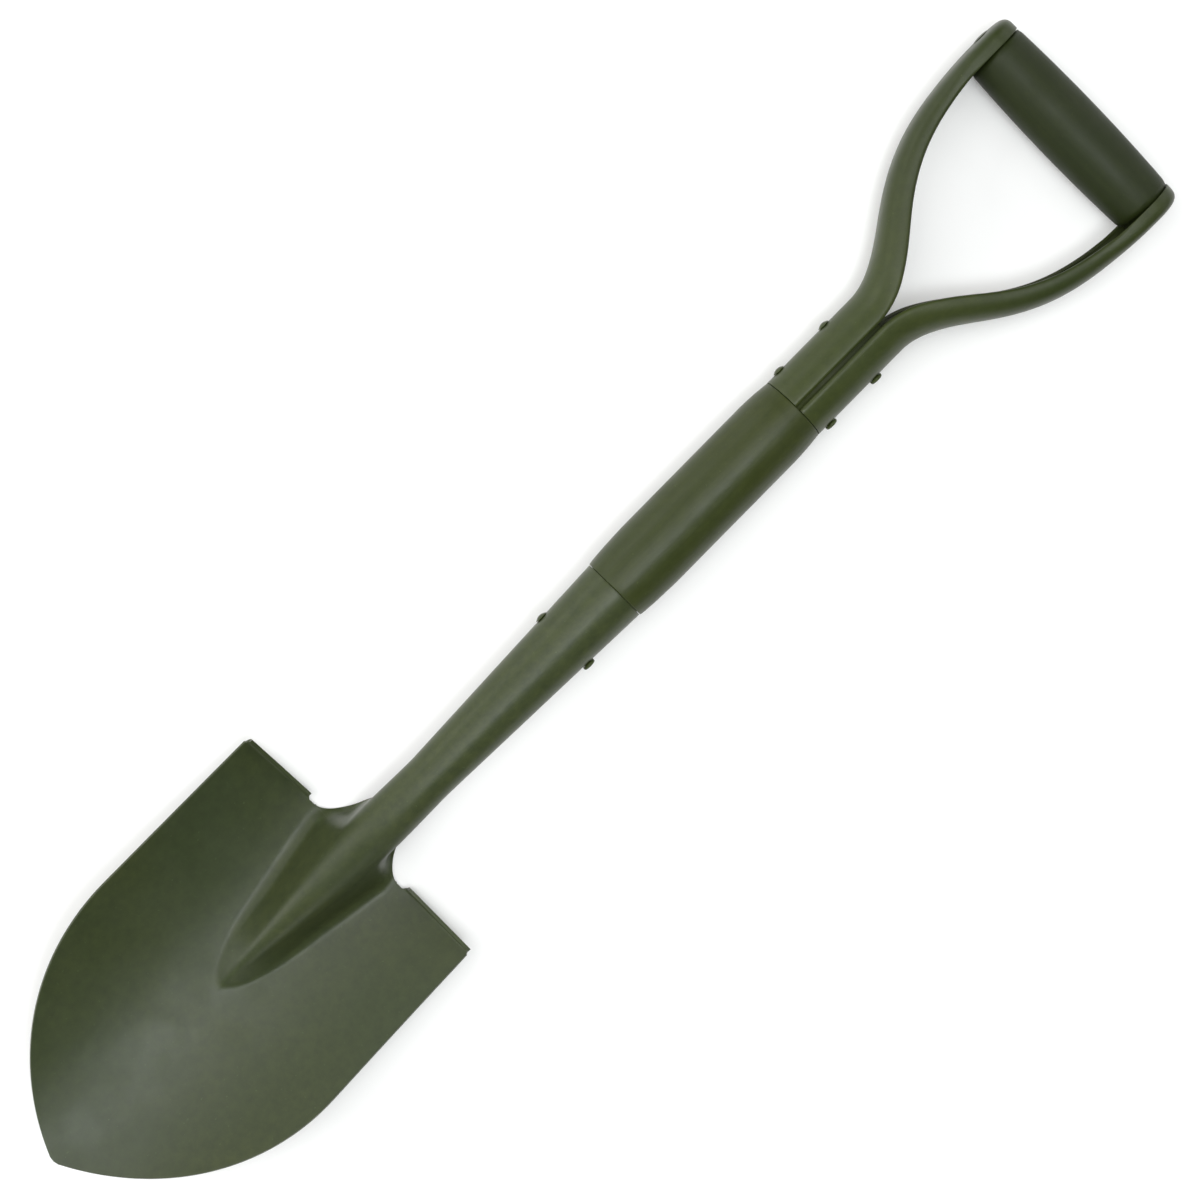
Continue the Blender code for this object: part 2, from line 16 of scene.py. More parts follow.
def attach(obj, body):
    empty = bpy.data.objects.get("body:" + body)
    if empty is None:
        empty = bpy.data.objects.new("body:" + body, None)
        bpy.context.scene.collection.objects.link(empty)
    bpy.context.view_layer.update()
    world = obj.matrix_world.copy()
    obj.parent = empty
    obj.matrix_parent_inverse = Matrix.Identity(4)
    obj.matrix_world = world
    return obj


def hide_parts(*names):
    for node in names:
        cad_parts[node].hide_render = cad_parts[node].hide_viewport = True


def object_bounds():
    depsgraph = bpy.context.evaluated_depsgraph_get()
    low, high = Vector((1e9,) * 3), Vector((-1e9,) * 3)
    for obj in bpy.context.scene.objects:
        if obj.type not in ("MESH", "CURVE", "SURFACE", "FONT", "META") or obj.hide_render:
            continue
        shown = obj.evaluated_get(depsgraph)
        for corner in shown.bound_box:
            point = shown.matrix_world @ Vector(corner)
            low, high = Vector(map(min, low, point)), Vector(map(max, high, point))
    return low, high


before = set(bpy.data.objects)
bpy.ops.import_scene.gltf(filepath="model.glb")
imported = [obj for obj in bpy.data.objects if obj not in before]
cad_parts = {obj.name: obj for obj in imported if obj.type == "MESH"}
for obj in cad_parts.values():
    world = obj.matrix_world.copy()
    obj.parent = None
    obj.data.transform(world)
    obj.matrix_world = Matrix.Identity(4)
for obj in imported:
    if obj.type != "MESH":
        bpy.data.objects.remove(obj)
cad_low, cad_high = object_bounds()

# Gap between neighbouring pieces.
GAP = 0.0003

# Blade, neck and socket: one sheet of steel, described by its face side.
SHEET = 0.0016
TIP_X = -0.3822
TREAD_X = -0.1745
BLADE_HALF = 0.0754
HEEL_HALF = 0.0744
POINT_ARC = 0.1215
POINT_ROUNDING = 0.0080
DISH_RADIUS = 0.147
HEEL_Z = -0.028
HEEL_LIFT = math.radians(6.0)
SCOOP = 0.34
HEEL_CORNER = 0.0005
# Reach below the bend over which the blade's cross lines bow, so that the steps are flat.
HEEL_BOW_REACH = 0.040
# How the sheet's vertices crowd: as a power, across the wing and along the blade.
WING_SPACING = 0.9
ROW_SPACING = 1.35

# Frog, the hollow ridge that carries the socket down into the blade.
FROG_LENGTH = 0.0945
FROG_HALF = 0.0293
FROG_FOOT_RADIUS = 0.0085
# Most of the frog's half width that its crown radius and its foot radius may take.
CROWN_SHARE = 0.55
FOOT_SHARE = 0.40
# Below this half width there is no frog.
FROG_LEAST_HALF = 0.0002
# (distance from the frog's lower end, its half width there)
FROG_SPREAD = ((0.0, 0.0), (0.008, 0.0082), (0.028, 0.0165), (0.060, 0.0231), (FROG_LENGTH, FROG_HALF))
# (distance from the frog's lower end, height of its crown above the shaft's axis)
FROG_RISE = ((0.016, -0.0118), (0.036, -0.0064), (0.060, -0.0006), (FROG_LENGTH, 0.0062))
# (distance from the frog's lower end, radius of its crown)
FROG_ROUND = ((0.0, 0.0012), (0.010, 0.0032), (0.060, 0.0098), (FROG_LENGTH, 0.0125))

# Steps turned up toward the face, and the notches between them and the neck.
STEP_BEND = 0.0014
STEP_HEIGHT = 0.0070
STEP_DROOP = math.radians(1.2)
STEP_INNER = 0.0342
STEP_INNER_CUT = 0.0022
STEP_CORNER_CUT = 0.0008
NOTCH_HALF = 0.0285
# Cut edge of the neck, as (distance above the notch, half width): two ends with a handle by each.
NECK_CUT = ((0.0, NOTCH_HALF), (0.0, 0.0235), (0.0080, 0.0158), (0.0185, 0.0132))

# Neck, open at the back, and socket, closed at the back down to SEAM_TOP_X.
NECK_X = -0.126
NECK_RADIUS = 0.0121
NECK_FRONT = (-0.155, 0.0100)
NECK_ROUND = (-0.158, 0.0126)
RIM_RADIUS = 0.01685
SEAM_HALF = 0.0005
SEAM_TOP_X = -0.080
# (place, degrees from the front by which the neck's rounded part turns back)
NECK_WRAP = (
    (-0.1735, 76.0),
    (-0.167, 87.0),
    (-0.159, 90.0),
    (-0.148, 108.0),
    (-0.136, 134.0),
    (-0.112, 157.0),
    (SEAM_TOP_X, 177.9),
)
# (place, length of the straight flank below the rounded part)
NECK_FLANK = ((-0.1735, 0.0205), (-0.167, 0.0185), (-0.159, 0.0142), (-0.148, 0.0060), (-0.136, 0.0))
# (place, radius with which the flank turns out into the foot)
NECK_FOOT = ((-0.1735, 0.0070), (-0.167, 0.0042), (-0.159, 0.0032))
FOOT_END_X = -0.149
# Reach over which the frog's cross-section turns smoothly into the neck's.
SECTION_BLEND = 0.006
# Reach over which the blade's dish fades out along the neck.
DISH_FADE_REACH = 0.025
# Farther along the sheet than any cut edge of the neck.
FARTHEST_REACH = 0.060

# Wooden shaft.
SHAFT_IN_SOCKET = 0.100
SHAFT_TOP_X = 0.178
STRAP_SEAT_RADIUS = 0.0151
# (distance in from the joint, radius) where the full shaft tapers down to each joint
STRAP_SHOULDER = ((0.0, 0.0174), (0.0040, 0.0178), (0.0085, 0.01825), (0.0180, 0.01865))
SOCKET_SHOULDER = ((0.0, 0.0172), (0.0030, 0.0176), (0.0130, 0.01825), (0.0260, 0.01865))
END_CHAMFER = 0.0018

# Straps, arms of the D, and the cups over the grip.
STRAP_SHEET = 0.0014
STRAP_RADIUS = 0.01745
STRAP_X = 0.1222
CROTCH_X = 0.179
# Where the arm's strap has become a full channel.
CHANNEL_X = 0.200
STRAP_SEAM_HALF = 0.0010
LIP_RADIUS = 0.0017
D_HALF = 0.0611
CUP_RADIUS = 0.0152
CUP_DEPTH = 0.0090
# (place, how deep the arm's channel is, from its outer face to its lips)
ARM_DEPTH = (
    (CROTCH_X, STRAP_RADIUS - STRAP_SEAM_HALF),
    (0.190, 0.0156),
    (0.200, 0.0145),
    (0.215, 0.0133),
    (0.250, 0.0113),
    (0.291, CUP_DEPTH),
)
# (place, half the arm's height, out of the plane of the D)
ARM_HEIGHT = (
    (CROTCH_X, STRAP_RADIUS),
    (0.200, 0.0160),
    (0.230, 0.0138),
    (0.262, 0.0135),
    (0.300, CUP_RADIUS),
)
# (place, power of the superellipse that the channel follows: 2 is round, more is squarer)
ARM_POWER = ((CROTCH_X, 2.0), (0.215, 2.4), (0.275, 2.5), (0.300, 4.0))
# (place, degrees through which the lip rolls in)
ARM_ROLL = ((0.280, 90.0), (0.302, 20.0))

# Grip.
GRIP_X = 0.3107
GRIP_RADIUS = 0.0167
GRIP_END_RADIUS = 0.0153
GRIP_HALF = 0.0513
TENON_RADIUS = 0.0134
TENON_HALF = 0.0575

# Rivets. A shaft rivet has a low dome on the left and a pan head on the right.
SOCKET_RIVET_X = -0.034
LOWER_STRAP_RIVET_X = 0.130
UPPER_STRAP_RIVET_X = 0.1606
SHANK_RADIUS = 0.0020
HEAD_RADIUS = 0.0033
DOME_HEIGHT = 0.0013
PAN_HEIGHT = 0.0019
PAN_WALL = 0.0011
PAN_TOP_RADIUS = 0.0028
PAN_CROWN = 0.0003
ROD_RADIUS = 0.0025
ROD_HEAD_RADIUS = 0.0042
ROD_HEAD_HEIGHT = 0.0005

# How the shovel lies: it rests on the back of its heel and on the belly of the grip.
REST_TILT = math.radians(1.2610)
REST_SHIFT = Vector((0.02752, 0.0, 0.023534))
REST = Matrix.Translation(REST_SHIFT) @ Matrix.Rotation(REST_TILT, 4, "Y")


def ease(t):
    t = min(max(t, 0.0), 1.0)
    return t * t * (3.0 - 2.0 * t)


def track(x, stops):
    """Smooth curve through the stops (place, value), with no overshoot between them."""
    if x <= stops[0][0]:
        return stops[0][1]
    if x >= stops[-1][0]:
        return stops[-1][1]
    slopes = [(b[1] - a[1]) / (b[0] - a[0]) for a, b in zip(stops, stops[1:])]
    tangents = [slopes[0]]
    for before, after in zip(slopes, slopes[1:]):
        same_way = before * after > 0.0
        tangents.append(2.0 * before * after / (before + after) if same_way else 0.0)
    tangents.append(slopes[-1])
    for i, (a, b) in enumerate(zip(stops, stops[1:])):
        if x <= b[0]:
            width = b[0] - a[0]
            t = (x - a[0]) / width
            start = (1.0 + 2.0 * t) * (1.0 - t) ** 2 * a[1] + t * (1.0 - t) ** 2 * width * tangents[i]
            end = t * t * (3.0 - 2.0 * t) * b[1] + t * t * (t - 1.0) * width * tangents[i + 1]
            return start + end
    return stops[-1][1]


BEND_X = TREAD_X - SHEET - STEP_BEND


def dish(y):
    return DISH_RADIUS - math.sqrt(DISH_RADIUS**2 - y * y)


def plate_z(x):
    """Height of the middle of the blade, without the frog: it rises ever faster toward the tip."""
    run = BEND_X - x
    return HEEL_Z + math.tan(HEEL_LIFT) * run + SCOOP * run * run


def point_outline():
    """(distance from the apex at which the side arcs start, sine of their slant at the apex)."""
    arc_start = math.sqrt(POINT_ARC**2 - (POINT_ARC - BLADE_HALF) ** 2)
    return arc_start, arc_start / POINT_ARC


def blade_half_width(x):
    """Outline: nearly parallel sides that run into a rounded point made of two arcs."""
    arc_start, slant = point_outline()
    centre = POINT_ROUNDING / slant
    along = x - TIP_X + centre - POINT_ROUNDING
    if along >= arc_start:
        straight = BEND_X - TIP_X - arc_start
        into_corner = max(x - BEND_X + HEEL_CORNER, 0.0)
        cut = HEEL_CORNER - math.sqrt(max(HEEL_CORNER**2 - into_corner**2, 0.0))
        return BLADE_HALF + (HEEL_HALF - BLADE_HALF) * (along - arc_start) / straight - cut
    if along >= centre - POINT_ROUNDING * slant:
        return math.sqrt(POINT_ARC**2 - (arc_start - along) ** 2) - (POINT_ARC - BLADE_HALF)
    return math.sqrt(POINT_ROUNDING**2 - (centre - along) ** 2)


def above_frog_end(stops):
    """The same stops with their places turned from distances above the frog's end into X."""
    return tuple((BEND_X - FROG_LENGTH + distance, value) for distance, value in stops)


def frog_half_width(x):
    return track(x, above_frog_end(FROG_SPREAD))


def socket_radius(x):
    """Radius of the round, evenly tapered part of the socket."""
    return RIM_RADIUS + (NECK_RADIUS - RIM_RADIUS) * x / NECK_X


def crown_z(x):
    """Height of the front line that runs from the rim of the socket down to the end of the frog."""
    if x >= NECK_X:
        return socket_radius(x)
    frog_end = BEND_X - FROG_LENGTH
    socket = (NECK_FRONT, (NECK_X, NECK_RADIUS), (0.0, RIM_RADIUS))
    return track(x, ((frog_end, plate_z(frog_end)),) + above_frog_end(FROG_RISE) + socket)


def crown_radius(x):
    """Radius of the rounded front, all the way down the socket, the neck and the frog."""
    if x >= NECK_X:
        return socket_radius(x)
    return track(x, above_frog_end(FROG_ROUND) + (NECK_ROUND, (NECK_X, NECK_RADIUS), (0.0, RIM_RADIUS)))


def bell(x):
    """(crown radius, foot radius, flank angle, flank length) of the frog's cross-section."""
    half = frog_half_width(x)
    height = crown_z(x) - plate_z(x)
    top = min(crown_radius(x), CROWN_SHARE * half)
    foot = min(FROG_FOOT_RADIUS, FOOT_SHARE * half)
    both = top + foot
    span = math.hypot(half, height - both)
    flank = math.atan2(height - both, half) + math.asin(min(both / span, 1.0))
    length = math.sqrt(max(span**2 - both**2, 0.0))
    return top, foot, flank, length


def neck_wrap(x):
    """(turn of the rounded front, length of its straight flank, radius of its foot) in frog and neck."""
    _, foot, flank, length = bell(min(x, BEND_X))
    if x <= BEND_X:
        return flank, length, foot
    turn = track(x, ((BEND_X, math.degrees(flank)),) + NECK_WRAP)
    straight = track(x, ((BEND_X, length),) + NECK_FLANK)
    return math.radians(turn), straight, track(x, ((BEND_X, foot),) + NECK_FOOT)


def front_radius(x):
    return crown_radius(x) if x > BEND_X else bell(x)[0]


def sharp_section(x, along):
    """(y, drop below the crown) at a distance along the sheet from the crown line."""
    radius = front_radius(x)
    turn, flank, foot = neck_wrap(x)
    arc = radius * turn
    if along <= arc:
        angle = along / radius
        return radius * math.sin(angle), radius * (1.0 - math.cos(angle))
    straight = min(along - arc, flank)
    y = radius * math.sin(turn) + straight * math.cos(turn)
    drop = radius * (1.0 - math.cos(turn)) + straight * math.sin(turn)
    rest = along - arc - straight
    angle = min(rest / foot, turn)
    y += foot * (math.sin(turn) - math.sin(turn - angle)) + rest - foot * angle
    drop += foot * (math.cos(turn - angle) - math.cos(turn))
    return y, drop


def neck_section(x, along):
    """The same, averaged over a stretch that is longest where the frog meets the neck."""
    reach = SECTION_BLEND * (1.0 - abs(x - BEND_X) / (2.0 * SECTION_BLEND))
    if reach <= 0.0:
        return sharp_section(x, along)
    total = Vector((0.0, 0.0))
    for offset, weight in ((-1.0, 1.0), (-0.5, 2.0), (0.0, 2.0), (0.5, 2.0), (1.0, 1.0)):
        total += weight * Vector(sharp_section(x + offset * reach, along))
    return total.x / 8.0, total.y / 8.0


def neck_reach(x, y_edge):
    """Distance along the sheet at which it reaches y_edge."""
    low = 0.0
    high = FARTHEST_REACH
    for _ in range(40):
        middle = 0.5 * (low + high)
        if neck_section(x, middle)[0] < y_edge:
            low = middle
        else:
            high = middle
    return low


def frog_height(x, y):
    """How far the frog stands over the plate, y from its middle."""
    if y >= frog_half_width(x) + SECTION_BLEND or frog_half_width(x) < FROG_LEAST_HALF:
        return 0.0
    drop = neck_section(x, neck_reach(x, y))[1]
    return max(crown_z(x) - plate_z(x) - drop, 0.0)


def step_bow(y):
    """How far a cross line of the blade bows so that each turned step is flat."""
    droop = math.tan(STEP_DROOP) * max(y - STEP_INNER, 0.0)
    return math.cos(HEEL_LIFT) * (math.sin(HEEL_LIFT) * dish(y) - droop)


def blade_columns(strip, wing):
    """Fractions of the strip, and of the wing outside it, at which the sheet has vertices."""
    inner = [i / strip for i in range(strip + 1)]
    outer = [(i / wing) ** WING_SPACING for i in range(1, wing + 1)]
    return inner, outer


def blade_rows(count, corner):
    """Places along the blade, from just off the tip to the bend of the steps."""
    corner_start = BEND_X - HEEL_CORNER
    length = corner_start - TIP_X
    rows = [TIP_X + length * (i / count) ** ROW_SPACING for i in range(1, count + 1)]
    for i in range(1, corner + 1):
        rows.append(corner_start + HEEL_CORNER * math.sin(0.5 * math.pi * i / corner))
    return rows


def neck_rows(notch, upper):
    """(place, distance from the crown line to the cut edge) from just above the notch to the rim."""
    curve = interpolate_bezier(*[Vector(point) for point in NECK_CUT], notch + 1)
    rows = [(BEND_X + above, neck_reach(BEND_X + above, half)) for above, half in curve[1:]]
    cut_end, reach = rows[-1]
    turn, flank, _ = neck_wrap(cut_end)
    foot_left = reach - crown_radius(cut_end) * turn - flank
    for i in range(1, upper + 1):
        x = cut_end * (1.0 - i / upper)
        turn, flank, _ = neck_wrap(x)
        foot = track(x, ((cut_end, foot_left), (FOOT_END_X, 0.0)))
        wrapped = math.pi * crown_radius(x) - SEAM_HALF if x > SEAM_TOP_X else crown_radius(x) * turn
        rows.append((x, wrapped + flank + foot))
    return rows


def build_blade(strip, wing, rows, corner, notch, upper, bend):
    """Left half of the blade's face side, to be mirrored across Y = 0."""
    bm = bmesh.new()
    inner, outer = blade_columns(strip, wing)
    shoulder_reach = neck_reach(BEND_X, NOTCH_HALF)
    shoulder = [neck_section(BEND_X, f * shoulder_reach)[0] for f in inner]
    fractions = [y / NOTCH_HALF for y in shoulder]

    def plate_point(x, y, bow):
        x_here = x + bow * step_bow(y)
        return Vector((x_here, y, plate_z(x_here) + dish(y) + frog_height(x_here, y)))

    grid = []
    for x in blade_rows(rows, corner):
        half = blade_half_width(x)
        scale = min(1.0, half / BLADE_HALF)
        near_heel = ease((x - BEND_X + HEEL_BOW_REACH) / HEEL_BOW_REACH)
        strip_half = NOTCH_HALF * scale
        ys = [f * strip_half for f in fractions] + [(STEP_INNER - STEP_INNER_CUT) * scale]
        ys += [ys[-1] + (half - ys[-1]) * f for f in outer]
        grid.append([bm.verts.new(plate_point(x, y, near_heel)) for y in ys])
    for below, above in zip(grid, grid[1:]):
        for j in range(len(below) - 1):
            bm.faces.new((below[j], above[j], above[j + 1], below[j + 1]))
    tip = bm.verts.new((TIP_X, 0.0, plate_z(TIP_X)))
    for a, b in zip(grid[0], grid[0][1:]):
        bm.faces.new((tip, a, b))

    # Steps: the wing columns turn up toward the face.
    first = strip + 1
    along = Vector((math.cos(HEEL_LIFT), 0.0, -math.sin(HEEL_LIFT)))
    out = Vector((0.0, 1.0, 0.0))
    tread_normal = along * math.cos(STEP_DROOP) + out * math.sin(STEP_DROOP)
    up = Vector((math.sin(HEEL_LIFT), 0.0, math.cos(HEEL_LIFT)))
    previous = grid[-1][first:]
    inner_y = previous[0].co.y
    step_width = previous[-1].co.y - inner_y
    shares = [(vertex.co.y - inner_y) / step_width for vertex in previous]
    offsets = []
    for i in range(1, bend + 1):
        angle = 0.5 * math.pi * i / bend
        offsets.append((STEP_BEND * math.sin(angle), STEP_BEND * (1.0 - math.cos(angle))))
    offsets.append((STEP_BEND, STEP_HEIGHT))
    for forward, rise in offsets:
        turned_up = forward / STEP_BEND
        start = inner_y + turned_up * STEP_INNER_CUT
        width = step_width - turned_up * (STEP_INNER_CUT + STEP_CORNER_CUT)
        row = []
        for share in shares:
            base = plate_point(BEND_X, start + width * share, 1.0)
            row.append(bm.verts.new(base + tread_normal * forward + up * rise))
        for j in range(len(row) - 1):
            bm.faces.new((previous[j], row[j], row[j + 1], previous[j + 1]))
        previous = row

    # Neck and socket.
    previous = grid[-1][: strip + 1]
    for x, reach in neck_rows(notch, upper):
        fade = 1.0 - ease((x - BEND_X) / DISH_FADE_REACH)
        row = []
        for f in inner:
            y, drop = neck_section(x, f * reach)
            z = crown_z(x) - drop + fade * dish(y)
            row.append(bm.verts.new((x + fade * step_bow(y), y, z)))
        for j in range(strip):
            bm.faces.new((previous[j], row[j], row[j + 1], previous[j + 1]))
        previous = row
    return bm


def arm_path(strap, lower, upper):
    """Points (x, y) along the middle of the left arm's outer face, from the strap's end to the grip."""
    # (point, heading, reach of the handle before it, reach of the handle after it, steps to the next)
    knots = (
        (Vector((STRAP_X, STRAP_RADIUS)), 0.0, 0.0, 0.012, strap),
        (Vector((CROTCH_X, STRAP_RADIUS)), 0.0, 0.015, 0.013, lower),
        (Vector((0.2155, 0.0349)), math.radians(36), 0.012, 0.032, upper),
        (Vector((GRIP_X, D_HALF)), 0.0, 0.050, 0.0, 0),
    )
    points = []
    for (a, turn_a, _, reach_a, count), (b, turn_b, reach_b, _, _) in zip(knots, knots[1:]):
        leave = a + Vector((math.cos(turn_a), math.sin(turn_a))) * reach_a
        arrive = b - Vector((math.cos(turn_b), math.sin(turn_b))) * reach_b
        stretch = interpolate_bezier(a, leave, arrive, b, count + 1)
        points += stretch if not points else stretch[1:]
    return points


def arm_section(x, columns, lip):
    """Points (inward, up) of the upper half of the channel at x, from its outer face to its lip."""
    power = track(x, ARM_POWER)
    height = track(x, ARM_HEIGHT)
    roll = math.radians(track(x, ARM_ROLL))
    roll_start = track(x, ARM_DEPTH) - LIP_RADIUS * math.sin(roll)
    flat = track(x, ((CROTCH_X, STRAP_RADIUS), (CHANNEL_X, roll_start)))
    share = roll_start / flat
    end = math.acos(max(1.0 - share, 0.0) ** (0.5 * power))
    points = []
    for i in range(columns + 1):
        angle = end * i / columns
        inward = flat * (1.0 - max(math.cos(angle), 0.0) ** (2.0 / power))
        points.append((inward, height * math.sin(angle) ** (2.0 / power)))
    start = points[-1]
    for i in range(1, lip + 1):
        angle = roll * i / lip
        reach = start[0] + LIP_RADIUS * math.sin(angle)
        points.append((reach, start[1] - LIP_RADIUS * (1.0 - math.cos(angle))))
    return points


def build_arm(side, strap, lower, upper, fan, columns, lip):
    """Face-side half of a strap and arm, to be mirrored across Z = 0. side is 1 on the left, else -1."""
    bm = bmesh.new()
    path = arm_path(strap, lower, upper)
    rows = []
    for i, point in enumerate(path):
        before = path[max(i - 1, 0)]
        after = path[min(i + 1, len(path) - 1)]
        along = (after - before).normalized() if 0 < i < len(path) - 1 else Vector((1.0, 0.0))
        inward = Vector((along.y, -along.x))
        row = []
        for n, up in arm_section(point.x, columns, lip):
            place = point + inward * n
            row.append(bm.verts.new((place.x, side * place.y, up)))
        rows.append(row)

    # The cup: the same section swings round the grip's axis until it lies in the plane of the D.
    section = arm_section(GRIP_X, columns, lip)
    centre = rows[-1][0]
    for i in range(1, fan + 1):
        swing = 0.5 * math.pi * i / fan
        row = [centre]
        for n, up in section[1:]:
            x = GRIP_X + up * math.sin(swing)
            z = up * math.cos(swing) if i < fan else 0.0
            row.append(bm.verts.new((x, side * (D_HALF - n), z)))
        rows.append(row)

    for a, b in zip(rows, rows[1:]):
        for j in range(len(a) - 1):
            corners = [a[j], a[j + 1], b[j + 1], b[j]]
            if corners[0] is corners[3]:
                corners.pop()
            if side < 0:
                corners.reverse()
            bm.faces.new(corners)
    return bm


def dome(radius, base, height, count):
    """Points (radius, height) down a spherical cap, from its top to its rim."""
    ball = (radius**2 + height**2) / (2.0 * height)
    spread = math.asin(min(radius / ball, 1.0))
    points = []
    for i in range(count + 1):
        angle = spread * i / count
        points.append((ball * math.sin(angle), base + height - ball * (1.0 - math.cos(angle))))
    return points


def across(x):
    """Puts a turned piece's axis across the shaft at x, its top to the left."""
    return Matrix.Translation((x, 0.0, 0.0)) @ Matrix.Rotation(-0.5 * math.pi, 4, "X")


# ---------------------------------------------------------------- paint

# Linear colours: the olive of each paint, and the warmer olive of the clouds in it; lightened, the warm
# olive is also the painted light on the neck and socket.
BLADE_OLIVE = (0.0355, 0.0475, 0.0190)
BLADE_WARM = (0.0425, 0.0530, 0.0180)
STRAP_OLIVE = (0.0370, 0.0500, 0.0135)
STRAP_WARM = (0.0415, 0.0530, 0.0125)
WOOD_OLIVE = (0.0330, 0.0440, 0.0095)
WOOD_WARM = (0.0375, 0.0470, 0.0090)
GRIP_OLIVE = (0.0150, 0.0225, 0.0030)
GRIP_WARM = (0.0180, 0.0245, 0.0030)

# (least, most) roughness.
STEEL_ROUGHNESS = (0.35, 0.45)
RIVET_ROUGHNESS = (0.28, 0.38)
SHAFT_ROUGHNESS = (0.37, 0.47)
GRIP_ROUGHNESS = (0.50, 0.62)
SPECULAR = 0.275

# Fine lines of the wood, as a scale for each axis of the row frame: they run along the turned piece.
SHAFT_GRAIN = (9.0, 420.0, 420.0)
GRIP_GRAIN = (420.0, 12.0, 420.0)

# Patterns in the paint, in noise cells to the metre.
CLOUDS = 14.0
MOTTLE = 190.0
SPECKS = 620.0
CHIPS = 260.0
PEEL = 520.0
WAVES = 60.0
DULL_PATCHES = 45.0

# Heights of the paint's relief.
PEEL_HEIGHT = 0.00006
WAVE_HEIGHT = 0.00030
GRAIN_HEIGHT = 0.00018

# How strongly each pattern, the painted light and the painted shade change the olive: a factor on its
# colour.
NECK_LIGHT_TONE = 1.10
MOTTLE_TONE = 0.78
SPECK_TONE = 1.9
WEAR_TONE = 1.3
PAINTED_SHADE_TONE = 0.25
GRAIN_TONE = 0.72


def link(tree, source, target):
    tree.links.new(source, target)


def node(tree, kind, **values):
    made = tree.nodes.new(kind)
    for key, value in values.items():
        setattr(made, key, value)
    return made


def attribute(tree, name):
    """Value that the mesh holds at each vertex under this name, or 0 where it holds none."""
    return node(tree, "ShaderNodeAttribute", attribute_name=name).outputs["Fac"]


def noise(tree, where, scale, detail, rough=0.5):
    made = node(tree, "ShaderNodeTexNoise")
    made.inputs["Scale"].default_value = scale
    made.inputs["Detail"].default_value = detail
    made.inputs["Roughness"].default_value = rough
    link(tree, where, made.inputs["Vector"])
    return made.outputs["Fac"]


def stretched(tree, where, scale):
    made = node(tree, "ShaderNodeMapping")
    made.inputs["Scale"].default_value = scale
    link(tree, where, made.inputs["Vector"])
    return made.outputs["Vector"]


def remap(tree, value, low, high, to_low, to_high, curve="LINEAR"):
    made = node(tree, "ShaderNodeMapRange", interpolation_type=curve)
    made.inputs["From Min"].default_value = low
    made.inputs["From Max"].default_value = high
    made.inputs["To Min"].default_value = to_low
    made.inputs["To Max"].default_value = to_high
    link(tree, value, made.inputs["Value"])
    return made.outputs["Result"]


def math_node(tree, operation, a, b):
    made = node(tree, "ShaderNodeMath", operation=operation)
    link(tree, a, made.inputs[0])
    link(tree, b, made.inputs[1])
    return made.outputs[0]


def blend_color(tree, amount, a, b):
    """Mix of two colours, each a socket or four numbers."""
    made = node(tree, "ShaderNodeMix", data_type="RGBA")
    link(tree, amount, made.inputs["Factor"])
    for value, socket in ((a, made.inputs["A"]), (b, made.inputs["B"])):
        if isinstance(value, tuple):
            socket.default_value = value
        else:
            link(tree, value, socket)
    return made.outputs["Result"]


def bump(tree, height, distance, strength, before=None):
    made = node(tree, "ShaderNodeBump")
    made.inputs["Strength"].default_value = strength
    made.inputs["Distance"].default_value = distance
    link(tree, height, made.inputs["Height"])
    if before:
        link(tree, before, made.inputs["Normal"])
    return made.outputs["Normal"]


def shade(color, factor):
    return tuple(factor * value for value in color) + (1.0,)


